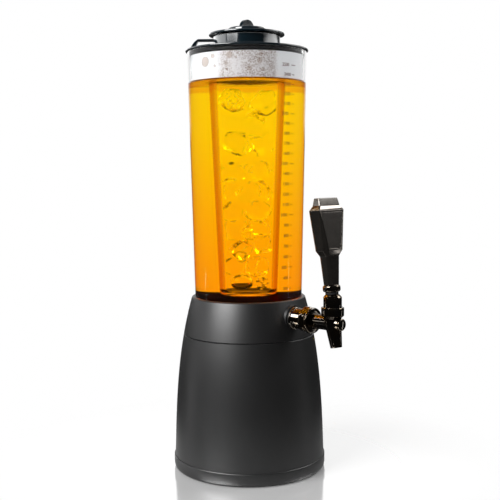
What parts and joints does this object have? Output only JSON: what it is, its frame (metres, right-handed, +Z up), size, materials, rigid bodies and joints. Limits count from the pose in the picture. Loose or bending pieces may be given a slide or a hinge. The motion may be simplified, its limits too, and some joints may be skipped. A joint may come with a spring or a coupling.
{
  "type": "beer tower dispenser",
  "caption": "Free-standing beer tower: clear tapered vessel with an ice tube and lids on a flared stand, and a lever tap at the front.",
  "frame": {"origin": "centre of the foot pad's underside, on the vertical axis of the vessel and the stand", "axes": "+Z up along the tower's axis, -Y forwards along the tap, +X to the right of a person who stands in front of the tap"},
  "size_m": [0.1698, 0.2197, 0.4953],
  "materials": {
    "rubber_black": "matt",
    "stand_black": "satin",
    "plate_black": "matt",
    "clear_plastic": "clear",
    "lid_black": "gloss",
    "silicone": "matt",
    "black_chrome": "dark polished",
    "handle_black": "gloss",
    "handle_panel": "satin",
    "steel": "zinc plated",
    "brass": "plain",
    "nylon": "matt"
  },
  "bodies": {
    "tower": {"anti_slip_pad": "rubber_black", "base_ring": "stand_black", "base_plate": "plate_black", "base_screws": "steel", "skirt": "stand_black", "collar": "stand_black", "collar_screws": "steel", "vessel_gasket": "rubber_black", "vessel": "clear_plastic", "saddle_gasket": "rubber_black", "outer_washer": "rubber_black", "inner_washer": "rubber_black", "shank": "black_chrome", "shank_nut": "black_chrome", "coupling_washer": "rubber_black", "coupling_nut": "black_chrome", "tap_body": "black_chrome", "front_plug": "black_chrome", "ball_seat": "nylon", "bonnet_dome": "black_chrome", "bonnet_ring": "black_chrome"},
    "tap_lever": {"lever": "steel", "handle_ferrule": "black_chrome", "slot_wiper": "rubber_black", "handle_insert": "brass", "handle_body": "handle_black", "handle_front_panel": "handle_panel", "handle_back_panel": "handle_panel", "handle_cap": "handle_panel"},
    "valve_plunger": {"valve_shaft": "brass", "valve_seal": "rubber_black", "seal_nut": "brass"},
    "lid": {"outer_lid": "lid_black", "lid_seal": "silicone"},
    "ice_insert": {"ice_tube": "clear_plastic"},
    "small_lid": {"inner_lid": "lid_black", "inner_lid_seal": "silicone"}
  },
  "joints": [
    {"name": "lever_pull", "type": "hinge", "parent": "tower", "child": "tap_lever", "pos_m": [0, -0.1218, 0.1954], "axis": [1, 0, 0], "range_deg": [0, 25]},
    {"name": "valve_travel", "type": "slide", "parent": "tower", "child": "valve_plunger", "axis": [0, 1, 0], "range_m": [0, 0.009]},
    {"name": "lid_lift", "type": "slide", "parent": "tower", "child": "lid", "axis": [0, 0, 1], "range_m": [0, 0.06]},
    {"name": "ice_tube_lift", "type": "slide", "parent": "lid", "child": "ice_insert", "axis": [0, 0, 1], "range_m": [0, 0.29]},
    {"name": "small_lid_lift", "type": "slide", "parent": "ice_insert", "child": "small_lid", "axis": [0, 0, 1], "range_m": [0, 0.06]}
  ],
  "couplings": [
    {"joint": "valve_travel", "follows": "lever_pull", "m_per_rad": 0.02036}
  ]
}
